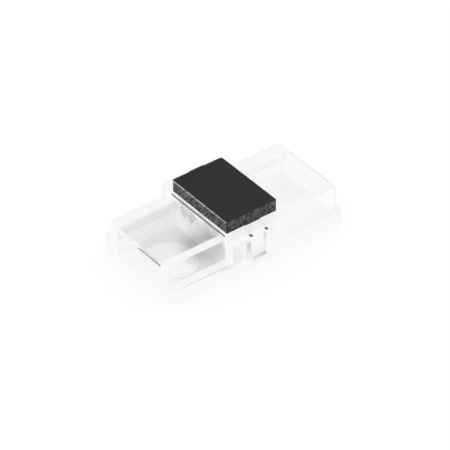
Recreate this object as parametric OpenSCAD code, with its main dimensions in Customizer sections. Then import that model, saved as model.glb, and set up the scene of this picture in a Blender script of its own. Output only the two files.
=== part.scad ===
// Solderless connector that joins two LED strips end to end.
// A clear moulded body takes a strip in each wing, and a black pin block drops into its collar.
// Two stamped contacts under the block bridge the strips when the block is pressed home.
// X runs along the strips, Z is up, and the origin is the middle of the underside. Millimetres.

/* [Strip] */
// Width of the LED strip that the slots take
strip_w = 8; // [6:0.5:12]
// Free space on each side of the strip
strip_play = 0.1; // [0.05:0.05:0.3]
// Height of the slot, which also takes a strip with a soft coating
slot_h = 3.55; // [3:0.05:4.2]

/* [Clear body] */
// Length of the body along the strips
body_l = 25; // [23:0.5:36]
// Thickness of the floor under the slot
floor_t = 0.45; // [0.4:0.05:0.9]
// Thickness of the roof over the slot
roof_t = 0.65; // [0.5:0.05:1.2]
// Thickness of the walls beside the slot
side_t = 1.45; // [1.2:0.05:2]
// Width of the base flange outside each side wall
flange_out = 1.15; // [0.8:0.05:1.6]
// Height of the base flanges
flange_h = 1.9; // [1.3:0.1:2.4]
// Radius of the upright outer corners
corner_r = 0.3; // [0.1:0.05:0.5]
// Diameter of the round hole in the floor of the left wing
hole_d = 6.1; // [4.5:0.1:6.5]
// Distance from the left end of the body to the middle of that hole
hole_in = 4.4; // [3.8:0.05:4.8]

/* [Collar] */
// Height of the collar above the wings
collar_rise = 0.65; // [0.4:0.05:1]
// How far the collar stands out past the flanges on each side
collar_out = 0.1; // [0.05:0.05:0.3]
// Thickness of the collar's long walls
collar_t = 1.42; // [1.2:0.02:1.6]
// Thickness of the lips at the ends of the collar
lip_t = 0.37; // [0.3:0.01:0.8]

/* [Snap tongues] */
// Width of the tongue in the middle of each long wall
tongue_w = 1.85; // [1.3:0.05:2.2]
// Width of the slits beside the tongue
slit_w = 0.4; // [0.25:0.05:0.5]
// Height of the rail that the tongue hangs from
rail_h = 0.8; // [0.5:0.05:1.2]
// Height of the window under the tongue
window_h = 1; // [0.8:0.1:1.6]
// Width of the gap that frees the back of the tongue
relief_t = 0.4; // [0.3:0.05:0.6]

/* [Pin block] */
// Length of the block along the strips
block_l = 7.4; // [6.5:0.1:9]
// Height of the block
block_h = 2; // [1.7:0.1:2.4]
// Radius of the block's upright corners
block_r = 0.4; // [0.2:0.05:0.8]
// How far the raised block stands above the collar, which is its travel
block_proud = 1.4; // [1:0.05:1.5]
// Free space around the block in its well
block_play = 0.08; // [0.05:0.01:0.12]
// How far the guide ribs stand out from the block's sides
rib_out = 0.1; // [0.05:0.05:0.3]

/* [Contacts] */
// Width of a contact
contact_w = 2.6; // [1.8:0.1:2.8]
// Distance between the middles of the two contacts
contact_pitch = 4.8; // [4.2:0.1:5]
// Thickness of the contact sheet
sheet_t = 0.3; // [0.2:0.05:0.4]
// How far the contact stays back from each end of the block
contact_in = 0.1; // [0.05:0.05:0.6]
// Inner radius of the bends
bend_r = 0.15; // [0.05:0.05:0.3]
// Depth of the notches between the teeth
tooth_h = 1; // [0.6:0.1:1.1]
// Height of the point of a tooth above the floor when the block is home
bite = 0.1; // [0.05:0.05:0.3]
// Width of the barb that anchors a contact in the block
barb_w = 1.3; // [0.8:0.1:1.6]
// Height of the barb
barb_h = 1.1; // [0.6:0.1:1.4]
// Free space around the barb in its pocket
barb_play = 0.03; // [0.02:0.01:0.06]

/* [Hidden] */
$fn = 48;
// Overshoot of a cut past the face it opens
cut = 1;
slot_w = strip_w + 2 * strip_play;
slot_top = floor_t + slot_h;
wing_w = slot_w + 2 * side_t;
wing_h = slot_top + roof_t;
flange_w = wing_w + 2 * flange_out;
collar_w = flange_w + 2 * collar_out;
collar_h = wing_h + collar_rise;
well_l = block_l + 2 * block_play;
well_w = collar_w - 2 * collar_t;
collar_l = well_l + 2 * lip_t;
block_w = well_w - 2 * block_play;
// Heights of the raised block, and of the ledge that it rests on when it is home
block_z = collar_h + block_proud - block_h;
ledge_z = block_z - block_proud - block_play;
// The channel behind the tongue guides a rib above the ledge and frees the tongue below it
channel_w = tongue_w + slit_w;
channel_out = well_w / 2 + rib_out;
channel_in = channel_out - relief_t;
rib_w = channel_w - 2 * block_play;
window_w = tongue_w + 2 * slit_w;
hole_x = body_l / 2 - hole_in;
tip_z = floor_t + bite + block_proud;
contact_l = block_l - 2 * contact_in;
pocket_l = sheet_t + 2 * barb_play;
pocket_w = barb_w + 2 * barb_play;

// Flat plate outline with round corners, centred
module plate(l, w, r) {
    square([l - 2 * r, w], center = true);
    square([l, w - 2 * r], center = true);
    for (sx = [-1, 1], sy = [-1, 1])
        translate([sx * (l / 2 - r), sy * (w / 2 - r)])
            circle(r = r);
}

// Upright block with round corners between two heights
module slab(l, w, r, z0, z1) {
    translate([0, 0, z0])
        linear_extrude(height = z1 - z0)
            plate(l, w, r);
}

// Plain box centred on X and Y between two heights
module bar(l, w, z0, z1) {
    translate([-l / 2, -w / 2, z0])
        cube([l, w, z1 - z0]);
}

// The outer form: flanges, wings and collar in one moulding
module shell() {
    slab(body_l, flange_w, corner_r, 0, flange_h);
    slab(body_l, wing_w, corner_r, 0, wing_h);
    slab(collar_l, collar_w, corner_r, 0, collar_h);
}

// The strip slot right through the body, with the round hole in the floor of its left wing
module slot() {
    bar(body_l + 2 * cut, slot_w, floor_t, slot_top);
    translate([-hole_x, 0, -cut])
        cylinder(d = hole_d, h = floor_t + 2 * cut);
}

// The well for the block, open to the slot below it
module well() {
    bar(well_l, well_w, ledge_z, collar_h + cut);
    bar(well_l, slot_w, floor_t, collar_h + cut);
}

// Box that reaches outward in the wall on the +Y side, from one distance to another
module wall_bar(w, y0, y1, z0, z1) {
    translate([0, (y0 + y1) / 2, 0])
        bar(w, y1 - y0, z0, z1);
}

// Slits, window and rib channel that free the tongue in the wall on the +Y side
module tongue_cut() {
    outside = collar_w / 2 + cut;
    for (side = [-1, 1])
        translate([side * (tongue_w + slit_w) / 2, 0, 0])
            wall_bar(slit_w, channel_in, outside, -cut, collar_h - rail_h);
    wall_bar(window_w, channel_in, outside, -cut, window_h);
    wall_bar(channel_w, channel_in, channel_out, -cut, collar_h + cut);
}

module body() {
    color([0.88, 0.93, 0.92, 0.4])
        difference() {
            shell();
            slot();
            well();
            for (side = [0, 1])
                mirror([0, side, 0])
                    tongue_cut();
        }
}

// Place of each contact across the block
function contact_y(side) = side * contact_pitch / 2;

// The raised block, with a shallow guide rib on each long side and a pocket for each barb
module pin_block() {
    color([0.16, 0.17, 0.18])
        difference() {
            union() {
                slab(block_l, block_w, block_r, block_z, block_z + block_h);
                bar(rib_w, block_w + 2 * rib_out, block_z, block_z + block_h);
            }
            for (side = [-1, 1])
                translate([0, contact_y(side), block_z])
                    bar(pocket_l, pocket_w, -cut, barb_h + barb_play);
        }
}

// Side view of a contact: a bridge with a leg bent down at each end
module contact_profile() {
    outer_r = bend_r + sheet_t;
    leg = block_z - tip_z;
    difference() {
        translate([0, -outer_r]) {
            square([contact_l - 2 * outer_r, 2 * outer_r], center = true);
            for (side = [-1, 1])
                translate([side * (contact_l / 2 - outer_r), 0])
                    circle(r = outer_r);
            translate([-contact_l / 2, outer_r - leg])
                square([contact_l, leg - outer_r]);
        }
        translate([0, -outer_r]) {
            square([contact_l - 2 * outer_r, 2 * bend_r], center = true);
            for (side = [-1, 1])
                translate([side * (contact_l / 2 - outer_r), 0])
                    circle(r = bend_r);
            translate([-contact_l / 2 + sheet_t, outer_r - leg - cut])
                square([contact_l - 2 * sheet_t, leg + cut - outer_r]);
        }
    }
}

// End view of a contact: full width above, two pointed teeth below
module contact_outline() {
    leg = block_z - tip_z;
    half = contact_w / 2;
    polygon([
        [-half, cut], [-half, tooth_h - leg], [-half / 2, -leg], [0, tooth_h - leg],
        [half / 2, -leg], [half, tooth_h - leg], [half, cut]
    ]);
}

module contact(y) {
    color([0.80, 0.76, 0.62])
        translate([0, y, block_z]) {
            intersection() {
                rotate([90, 0, 0])
                    linear_extrude(height = contact_w, center = true)
                        contact_profile();
                rotate([90, 0, 90])
                    linear_extrude(height = contact_l + 2 * cut, center = true)
                        contact_outline();
            }
            bar(sheet_t, barb_w, -sheet_t / 2, barb_h);
        }
}

body();
pin_block();
contact(contact_y(-1));  // contact_front
contact(contact_y(1));  // contact_back
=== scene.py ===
import bmesh
import bpy
import numpy as np
from mathutils import Matrix, Vector


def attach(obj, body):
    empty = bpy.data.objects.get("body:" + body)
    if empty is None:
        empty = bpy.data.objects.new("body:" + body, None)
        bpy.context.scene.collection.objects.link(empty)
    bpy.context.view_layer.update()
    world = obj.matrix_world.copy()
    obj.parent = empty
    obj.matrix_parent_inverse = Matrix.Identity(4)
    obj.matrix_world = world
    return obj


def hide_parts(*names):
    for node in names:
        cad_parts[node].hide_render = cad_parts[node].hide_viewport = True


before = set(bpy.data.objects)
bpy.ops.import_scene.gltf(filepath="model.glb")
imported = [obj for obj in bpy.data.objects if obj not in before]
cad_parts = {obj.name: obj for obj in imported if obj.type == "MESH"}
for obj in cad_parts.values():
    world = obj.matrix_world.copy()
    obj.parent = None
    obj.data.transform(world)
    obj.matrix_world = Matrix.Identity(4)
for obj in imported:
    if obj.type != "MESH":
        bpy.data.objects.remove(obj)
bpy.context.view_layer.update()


# Clear body. One moulding in water-clear polycarbonate, with two wings, base flanges and a collar.
# It comes out of the tool with every edge eased by the width of a hair, and those soft edges are
# what catches the light in the clear plastic.

MM = 0.001
BODY_EASE = 0.16 * MM
PC_TINT = (1, 1, 1, 1)
PC_TINT_DEEP = (0.985, 0.993, 0.997, 1)
PC_IOR = 1.585
FROST = 0.12
FROST_REACH = 0.06 * MM
# Painted shade: a grey painted into the clear plastic in the left wing's slot stands for the block's
# shadow and its dark reflection there.
PAINTED_SHADE_TINT = (0.74, 0.76, 0.76, 1)
PAINTED_SHADE_IN_ROOF = 0.34
PAINTED_SHADE_IN_WALLS = 0.4
SLOT_HALF = 4.05 * MM
WALL_FACE = 4.17 * MM
FLOOR_FACE = (0.46 * MM, 0.56 * MM)
ROOF_FACE = (3.8 * MM, 3.95 * MM)
PAINTED_SHADE_AT_MOUTH = (-10.4 * MM, -9.2 * MM)
PAINTED_SHADE_AT_WELL = (-4.3 * MM, -3.7 * MM)


def eased_copy(node, name, ease, segments):
    """A merged copy of a CAD node's mesh, its flat faces made whole, and every edge sharper than
    40 degrees rounded over by the given width. Face-weighted normals keep the flats flat."""
    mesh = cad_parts[node].data.copy()
    mesh.name = name
    mesh.materials.clear()
    work = bmesh.new()
    work.from_mesh(mesh)
    bmesh.ops.remove_doubles(work, verts=work.verts, dist=1e-6)
    bmesh.ops.dissolve_limit(work, angle_limit=np.radians(1), verts=work.verts, edges=work.edges)
    work.to_mesh(mesh)
    work.free()
    mesh.shade_smooth()
    piece = bpy.data.objects.new(name, mesh)
    bpy.context.collection.objects.link(piece)
    bevel = piece.modifiers.new("eased edges", "BEVEL")
    bevel.width = ease
    bevel.segments = segments
    bevel.limit_method = "ANGLE"
    bevel.angle_limit = np.radians(40)
    weighted = piece.modifiers.new("flat faces", "WEIGHTED_NORMAL")
    weighted.keep_sharp = True
    return piece


def new_material(name):
    """An empty procedural material: its node tree, its Principled shader and its Object coordinates."""
    material = bpy.data.materials.new(name)
    material.use_nodes = True
    tree = material.node_tree
    shader = tree.nodes["Principled BSDF"]
    place = tree.nodes.new("ShaderNodeTexCoord")
    return material, tree, shader, place.outputs["Object"]


def group_socket(group, name, kind, value=None, way="INPUT"):
    """One named socket of a node group, with its default value."""
    socket = group.interface.new_socket(name, in_out=way, socket_type=kind)
    if value is not None:
        socket.default_value = value
    return socket


def moulding_group():
    """Moulded skin: a slow drift between two colours, a roughness that wanders between two values,
    and a height that mixes broad flow ripples with a fine grain."""
    group = bpy.data.node_groups.new("moulded skin", "ShaderNodeTree")
    group_socket(group, "Place", "NodeSocketVector")
    group_socket(group, "Colour", "NodeSocketColor")
    group_socket(group, "Drift Colour", "NodeSocketColor")
    group_socket(group, "Least Roughness", "NodeSocketFloat", 0.1)
    group_socket(group, "Most Roughness", "NodeSocketFloat", 0.2)
    group_socket(group, "Flow Scale", "NodeSocketFloat", 200.0)
    group_socket(group, "Grain Scale", "NodeSocketFloat", 6000.0)
    group_socket(group, "Grain Share", "NodeSocketFloat", 0.3)
    group_socket(group, "Colour", "NodeSocketColor", way="OUTPUT")
    group_socket(group, "Roughness", "NodeSocketFloat", way="OUTPUT")
    group_socket(group, "Height", "NodeSocketFloat", way="OUTPUT")
    nodes, links = group.nodes, group.links
    given = nodes.new("NodeGroupInput").outputs
    result = nodes.new("NodeGroupOutput").inputs
    flow = nodes.new("ShaderNodeTexNoise")
    grain = nodes.new("ShaderNodeTexNoise")
    colour = nodes.new("ShaderNodeMix")
    colour.data_type = "RGBA"
    rough = nodes.new("ShaderNodeMapRange")
    height = nodes.new("ShaderNodeMix")
    links.new(given["Place"], flow.inputs["Vector"])
    links.new(given["Flow Scale"], flow.inputs["Scale"])
    links.new(given["Place"], grain.inputs["Vector"])
    links.new(given["Grain Scale"], grain.inputs["Scale"])
    links.new(flow.outputs["Fac"], colour.inputs["Factor"])
    links.new(given["Colour"], colour.inputs["A"])
    links.new(given["Drift Colour"], colour.inputs["B"])
    links.new(grain.outputs["Fac"], rough.inputs["Value"])
    links.new(given["Least Roughness"], rough.inputs["To Min"])
    links.new(given["Most Roughness"], rough.inputs["To Max"])
    links.new(given["Grain Share"], height.inputs["Factor"])
    links.new(flow.outputs["Fac"], height.inputs["A"])
    links.new(grain.outputs["Fac"], height.inputs["B"])
    links.new(colour.outputs["Result"], result["Colour"])
    links.new(rough.outputs["Result"], result["Roughness"])
    links.new(height.outputs["Result"], result["Height"])
    return group


def moulded(tree, place, **values):
    """Places the moulded skin in a material with its own values."""
    skin = tree.nodes.new("ShaderNodeGroup")
    skin.node_tree = MOULDED_SKIN
    tree.links.new(place, skin.inputs["Place"])
    for name, value in values.items():
        skin.inputs[name.replace("_", " ")].default_value = value
    return skin.outputs


def bump(tree, height, shader, strength, distance):
    """Turns a height into the shader's normal."""
    node = tree.nodes.new("ShaderNodeBump")
    node.inputs["Strength"].default_value = strength
    node.inputs["Distance"].default_value = distance
    tree.links.new(height, node.inputs["Height"])
    tree.links.new(node.outputs["Normal"], shader.inputs["Normal"])


def combined(tree, operation, first, second):
    """Two values put together by one operation of a Math node."""
    node = tree.nodes.new("ShaderNodeMath")
    node.operation = operation
    tree.links.new(first, node.inputs[0])
    tree.links.new(second, node.inputs[1])
    return node.outputs["Value"]


def graded(tree, value, start, end, low, high):
    """A value that goes evenly from low to high while another goes from start to end."""
    node = tree.nodes.new("ShaderNodeMapRange")
    for name, limit in zip(("From Min", "From Max", "To Min", "To Max"), (start, end, low, high)):
        node.inputs[name].default_value = limit
    tree.links.new(value, node.inputs["Value"])
    return node.outputs["Result"]


def beyond(tree, coordinate, limit):
    """1 where a coordinate lies further out than a limit on either side, and 0 elsewhere."""
    out = tree.nodes.new("ShaderNodeMath")
    out.operation = "ABSOLUTE"
    mask = tree.nodes.new("ShaderNodeMath")
    mask.operation = "GREATER_THAN"
    mask.inputs[1].default_value = limit
    tree.links.new(coordinate, out.inputs[0])
    tree.links.new(out.outputs["Value"], mask.inputs[0])
    return mask.outputs["Value"]


MOULDED_SKIN = moulding_group()

clear_plastic, tree, shader, place = new_material("clear polycarbonate")
skin = moulded(
    tree, place, Colour=PC_TINT, Drift_Colour=PC_TINT_DEEP, Least_Roughness=0.0, Most_Roughness=0.05,
    Flow_Scale=140.0, Grain_Scale=3000.0, Grain_Share=0.15,
)
along = tree.nodes.new("ShaderNodeSeparateXYZ")
tree.links.new(place, along.inputs["Vector"])
frost = graded(tree, along.outputs["Z"], 0, FROST_REACH, FROST, 0)
tree.links.new(combined(tree, "MAXIMUM", frost, skin["Roughness"]), shader.inputs["Roughness"])
# Painted shade: the grey lies on the slot's floor, roof underside and side walls, in the left wing
# only. It fades out towards the mouth and stops at the block's well.
in_floor = combined(
    tree, "MULTIPLY", graded(tree, along.outputs["Z"], *FLOOR_FACE, 1, 0),
    graded(tree, along.outputs["X"], *PAINTED_SHADE_AT_MOUTH, 0, 1),
)
in_roof = graded(tree, along.outputs["Z"], *ROOF_FACE, 0, PAINTED_SHADE_IN_ROOF)
outside = beyond(tree, along.outputs["Y"], SLOT_HALF)
in_slot = combined(
    tree, "MULTIPLY", graded(tree, outside, 0, 1, 1, 0), combined(tree, "MAXIMUM", in_floor, in_roof)
)
in_walls = graded(
    tree, combined(tree, "SUBTRACT", outside, beyond(tree, along.outputs["Y"], WALL_FACE)),
    0, 1, 0, PAINTED_SHADE_IN_WALLS,
)
in_left_wing = graded(tree, along.outputs["X"], *PAINTED_SHADE_AT_WELL, 1, 0)
painted_shade = tree.nodes.new("ShaderNodeMix")
painted_shade.data_type = "RGBA"
painted_shade.inputs["B"].default_value = PAINTED_SHADE_TINT
tree.links.new(
    combined(tree, "MULTIPLY", in_left_wing, combined(tree, "MAXIMUM", in_slot, in_walls)),
    painted_shade.inputs["Factor"],
)
tree.links.new(skin["Colour"], painted_shade.inputs["A"])
tree.links.new(painted_shade.outputs["Result"], shader.inputs["Base Color"])
shader.inputs["IOR"].default_value = PC_IOR
shader.inputs["Transmission Weight"].default_value = 1
bump(tree, skin["Height"], shader, 0.12, 0.02 * MM)

clear_body = eased_copy("body", "clear_body", BODY_EASE, 3)
clear_body.data.materials.append(clear_plastic)
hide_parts("body")
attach(clear_body, "housing")


# Pin block. A black moulding with a fine grain, dropped into the collar from above and left raised.
# Its ends carry the slanting rub marks of the tool, in a pale colour that also paints light onto
# the ends. Its sides carry a lighter speckle that is painted light, and a pale band along the top
# edges of the ends is a painted highlight. Its edges are eased like the body's.

BLOCK_EASE = 0.1 * MM
BLACK = (0.012, 0.014, 0.016, 1)
BLACK_WORN = (0.02, 0.023, 0.025, 1)
RUB_MARKS_AND_PAINTED_LIGHT = (0.17, 0.18, 0.18, 1)
PAINTED_HIGHLIGHT = (0.5, 0.52, 0.52, 1)
RUB_SLANT = np.radians(40)
RUB_LENGTH = 7
END_FACE = 3.63 * MM
SIDE_FACE = 5.22 * MM
TOP_EDGE = 6.6 * MM

black_plastic, tree, shader, place = new_material("black moulding")
skin = moulded(
    tree, place, Colour=BLACK, Drift_Colour=BLACK_WORN, Least_Roughness=0.3, Most_Roughness=0.45,
    Flow_Scale=500.0, Grain_Scale=9000.0, Grain_Share=0.7,
)
along = tree.nodes.new("ShaderNodeSeparateXYZ")
tree.links.new(place, along.inputs["Vector"])
slanted = tree.nodes.new("ShaderNodeMapping")
slanted.vector_type = "TEXTURE"
slanted.inputs["Rotation"].default_value = (RUB_SLANT, 0, 0)
slanted.inputs["Scale"].default_value = (1, 1, RUB_LENGTH)
tree.links.new(place, slanted.inputs["Vector"])
strokes = tree.nodes.new("ShaderNodeTexNoise")
strokes.inputs["Scale"].default_value = 6000
strokes.inputs["Detail"].default_value = 2
tree.links.new(slanted.outputs["Vector"], strokes.inputs["Vector"])
speckle = tree.nodes.new("ShaderNodeTexNoise")
speckle.inputs["Scale"].default_value = 3500
speckle.inputs["Detail"].default_value = 3
tree.links.new(place, speckle.inputs["Vector"])
at_end = beyond(tree, along.outputs["X"], END_FACE)
# The ends' slanting strokes are rub marks, and their pale colour also paints light onto the ends.
on_end = combined(tree, "MULTIPLY", at_end, graded(tree, strokes.outputs["Fac"], 0.38, 0.62, 0.05, 1))
# Painted light: a lighter speckle on the side faces makes the sides lighter than the top, as the light
# falls.
on_side = combined(
    tree, "MULTIPLY", beyond(tree, along.outputs["Y"], SIDE_FACE),
    graded(tree, speckle.outputs["Fac"], 0.45, 0.65, 0.1, 0.75),
)
# Painted highlight: a pale band along the top edges of the two end faces.
on_edge = combined(
    tree, "MULTIPLY", combined(tree, "MULTIPLY", at_end, beyond(tree, along.outputs["Z"], TOP_EDGE)),
    graded(tree, speckle.outputs["Fac"], 0.4, 0.55, 0.3, 1),
)
rubbed_and_painted_light = tree.nodes.new("ShaderNodeMix")
rubbed_and_painted_light.data_type = "RGBA"
rubbed_and_painted_light.inputs["B"].default_value = RUB_MARKS_AND_PAINTED_LIGHT
tree.links.new(combined(tree, "MAXIMUM", on_end, on_side), rubbed_and_painted_light.inputs["Factor"])
tree.links.new(skin["Colour"], rubbed_and_painted_light.inputs["A"])
# The painted highlight is laid over the rub marks and the painted light.
painted_highlight = tree.nodes.new("ShaderNodeMix")
painted_highlight.data_type = "RGBA"
painted_highlight.inputs["B"].default_value = PAINTED_HIGHLIGHT
tree.links.new(on_edge, painted_highlight.inputs["Factor"])
tree.links.new(rubbed_and_painted_light.outputs["Result"], painted_highlight.inputs["A"])
tree.links.new(painted_highlight.outputs["Result"], shader.inputs["Base Color"])
tree.links.new(skin["Roughness"], shader.inputs["Roughness"])
shader.inputs["Specular IOR Level"].default_value = 0.12
bump(tree, skin["Height"], shader, 0.4, 0.02 * MM)

block = eased_copy("pin_block", "black_block", BLOCK_EASE, 3)
block.data.materials.append(black_plastic)
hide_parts("pin_block")
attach(block, "press_block")


# Contacts. Two bridges stamped from tin-plated brass sheet, each held in the block by a barb.
# The plating is bright and slightly uneven.

TIN = (0.95, 0.95, 0.94, 1)
TIN_DULL = (0.85, 0.85, 0.84, 1)

tin_plate, tree, shader, place = new_material("tin plate")
skin = moulded(
    tree, place, Colour=TIN, Drift_Colour=TIN_DULL, Least_Roughness=0.18, Most_Roughness=0.35,
    Flow_Scale=900.0, Grain_Scale=8000.0, Grain_Share=0.5,
)
tree.links.new(skin["Colour"], shader.inputs["Base Color"])
tree.links.new(skin["Roughness"], shader.inputs["Roughness"])
shader.inputs["Metallic"].default_value = 1
bump(tree, skin["Height"], shader, 0.2, 0.01 * MM)

for node in ("contact_front", "contact_back"):
    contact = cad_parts[node]
    contact.data.materials.clear()
    contact.data.materials.append(tin_plate)


# Stage. A white table under a soft dome, as for a catalogue picture. The table glows towards the
# camera and through the clear plastic, and still keeps the part's shadow. Seen through the plastic,
# its glow is dimmed in a soft round spot beside the block, which is a painted shadow of the block.
# The dome is white low down and grey overhead, which is what gives clear plastic its form.

TABLE_REACH = 1.2
TABLE_COLOUR = (0.9, 0.9, 0.9, 1)
TABLE_GLOW_SEEN = 0.85
TABLE_GLOW_THROUGH = 0.92
TABLE_GLOW_UNDER = 0.36
TABLE_SHADE = (-3.4 * MM, -0.4 * MM, 0)
TABLE_SHADE_REACH = (1 * MM, 4.2 * MM)
TABLE_LIFT = 0.02 * MM
DOME_LIGHT = 1.1
DOME_GREY = 0.4
DOME_GREY_FROM = 0.5


def path_share(tree, seen, through):
    """A factor that is one value for camera rays, another for rays sent on by a shiny or clear
    surface, and 0 for the rest."""
    path = tree.nodes.new("ShaderNodeLightPath")
    sent_on, share, total = (tree.nodes.new("ShaderNodeMath") for _ in range(3))
    sent_on.operation = "MAXIMUM"
    share.operation = "MULTIPLY"
    total.operation = "MULTIPLY_ADD"
    tree.links.new(path.outputs["Is Glossy Ray"], sent_on.inputs[0])
    tree.links.new(path.outputs["Is Transmission Ray"], sent_on.inputs[1])
    tree.links.new(sent_on.outputs["Value"], share.inputs[0])
    if isinstance(through, bpy.types.NodeSocket):
        tree.links.new(through, share.inputs[1])
    else:
        share.inputs[1].default_value = through
    tree.links.new(path.outputs["Is Camera Ray"], total.inputs[0])
    total.inputs[1].default_value = seen
    tree.links.new(share.outputs["Value"], total.inputs[2])
    return total.outputs["Value"]


table_top = bpy.data.meshes.new("table")
corners = TABLE_REACH * np.array([(-1, -1, 0), (1, -1, 0), (1, 1, 0), (-1, 1, 0)])
table_top.from_pydata((corners + (0, 0, TABLE_LIFT)).tolist(), [], [(0, 1, 2, 3)])
table = bpy.data.objects.new("table", table_top)
bpy.context.collection.objects.link(table)

white_table, tree, shader, place = new_material("white table")
shader.inputs["Base Color"].default_value = TABLE_COLOUR
shader.inputs["Roughness"].default_value = 0.9
shader.inputs["Specular IOR Level"].default_value = 0
glow = tree.nodes.new("ShaderNodeEmission")
glow.inputs["Color"].default_value = (1, 1, 1, 1)
away = tree.nodes.new("ShaderNodeVectorMath")
away.operation = "DISTANCE"
away.inputs[1].default_value = TABLE_SHADE
# Painted shadow: the glow seen through the plastic falls from TABLE_GLOW_THROUGH to TABLE_GLOW_UNDER
# near TABLE_SHADE, in place of the block's shadow.
shade = tree.nodes.new("ShaderNodeMapRange")
shade.interpolation_type = "SMOOTHSTEP"
shade.inputs["From Min"].default_value = TABLE_SHADE_REACH[0]
shade.inputs["From Max"].default_value = TABLE_SHADE_REACH[1]
shade.inputs["To Min"].default_value = TABLE_GLOW_UNDER
shade.inputs["To Max"].default_value = TABLE_GLOW_THROUGH
tree.links.new(place, away.inputs[0])
tree.links.new(away.outputs["Value"], shade.inputs["Value"])
mix = tree.nodes.new("ShaderNodeMixShader")
tree.links.new(path_share(tree, TABLE_GLOW_SEEN, shade.outputs["Result"]), mix.inputs["Fac"])
tree.links.new(shader.outputs["BSDF"], mix.inputs[1])
tree.links.new(glow.outputs["Emission"], mix.inputs[2])
tree.links.new(mix.outputs["Shader"], tree.nodes["Material Output"].inputs["Surface"])
table_top.materials.append(white_table)

world = bpy.data.worlds.new("dome")
bpy.context.scene.world = world
world.use_nodes = True
tree = world.node_tree
lamp_light = tree.nodes["Background"]
lamp_light.inputs["Color"].default_value = (1, 1, 1, 1)
lamp_light.inputs["Strength"].default_value = DOME_LIGHT
toward = tree.nodes.new("ShaderNodeTexCoord")
split = tree.nodes.new("ShaderNodeSeparateXYZ")
tree.links.new(toward.outputs["Generated"], split.inputs["Vector"])
falloff = tree.nodes.new("ShaderNodeMapRange")
falloff.inputs["From Min"].default_value = 0
falloff.inputs["From Max"].default_value = DOME_GREY_FROM
falloff.inputs["To Min"].default_value = 1
falloff.inputs["To Max"].default_value = DOME_GREY
tree.links.new(split.outputs["Z"], falloff.inputs["Value"])
mirrored = tree.nodes.new("ShaderNodeBackground")
tree.links.new(falloff.outputs["Result"], mirrored.inputs["Strength"])
white = tree.nodes.new("ShaderNodeBackground")
white.inputs["Color"].default_value = (1, 1, 1, 1)
mixed = tree.nodes.new("ShaderNodeMixShader")
tree.links.new(path_share(tree, 0, 1), mixed.inputs["Fac"])
tree.links.new(lamp_light.outputs["Background"], mixed.inputs[1])
tree.links.new(mirrored.outputs["Background"], mixed.inputs[2])
mix = tree.nodes.new("ShaderNodeMixShader")
tree.links.new(path_share(tree, 1, 0), mix.inputs["Fac"])
tree.links.new(mixed.outputs["Shader"], mix.inputs[1])
tree.links.new(white.outputs["Background"], mix.inputs[2])
tree.links.new(mix.outputs["Shader"], tree.nodes["World Output"].inputs["Surface"])


def soft_lamp(name, place, size, power):
    """A square area lamp that faces the middle of the part."""
    lamp = bpy.data.objects.new(name, bpy.data.lights.new(name, "AREA"))
    lamp.data.shape = "SQUARE"
    lamp.data.size = size
    lamp.data.energy = power
    lamp.location = place
    lamp.rotation_euler = (-Vector(place)).to_track_quat("-Z", "Y").to_euler()
    bpy.context.collection.objects.link(lamp)


soft_lamp("back softbox", (0.3, 0.15, 0.3), 0.5, 0.3)


# Camera. A long lens above the left front corner, at the angle of the picture.

CAMERA_AZIMUTH = np.radians(37.663)
CAMERA_HEIGHT = np.radians(37.751)
CAMERA_DISTANCE = 370.4 * MM
CAMERA_SLIDE = (0.087 * MM, 1.189 * MM)
LENS = 251.7

back = Vector((
    -np.sin(CAMERA_AZIMUTH) * np.cos(CAMERA_HEIGHT),
    -np.cos(CAMERA_AZIMUTH) * np.cos(CAMERA_HEIGHT),
    np.sin(CAMERA_HEIGHT),
))
right = Vector((np.cos(CAMERA_AZIMUTH), -np.sin(CAMERA_AZIMUTH), 0))
up = back.cross(right)
camera = bpy.data.objects.new("camera", bpy.data.cameras.new("camera"))
camera.data.lens = LENS
camera.data.clip_start = 0.01
turn = Matrix((right, up, back)).transposed().to_4x4()
turn.translation = back * CAMERA_DISTANCE + right * CAMERA_SLIDE[0] + up * CAMERA_SLIDE[1]
camera.matrix_world = turn
bpy.context.collection.objects.link(camera)
bpy.context.scene.camera = camera

bpy.context.scene.view_settings.view_transform = "Standard"
bpy.context.scene.cycles.max_bounces = 40
bpy.context.scene.cycles.glossy_bounces = 32
bpy.context.scene.cycles.transmission_bounces = 32
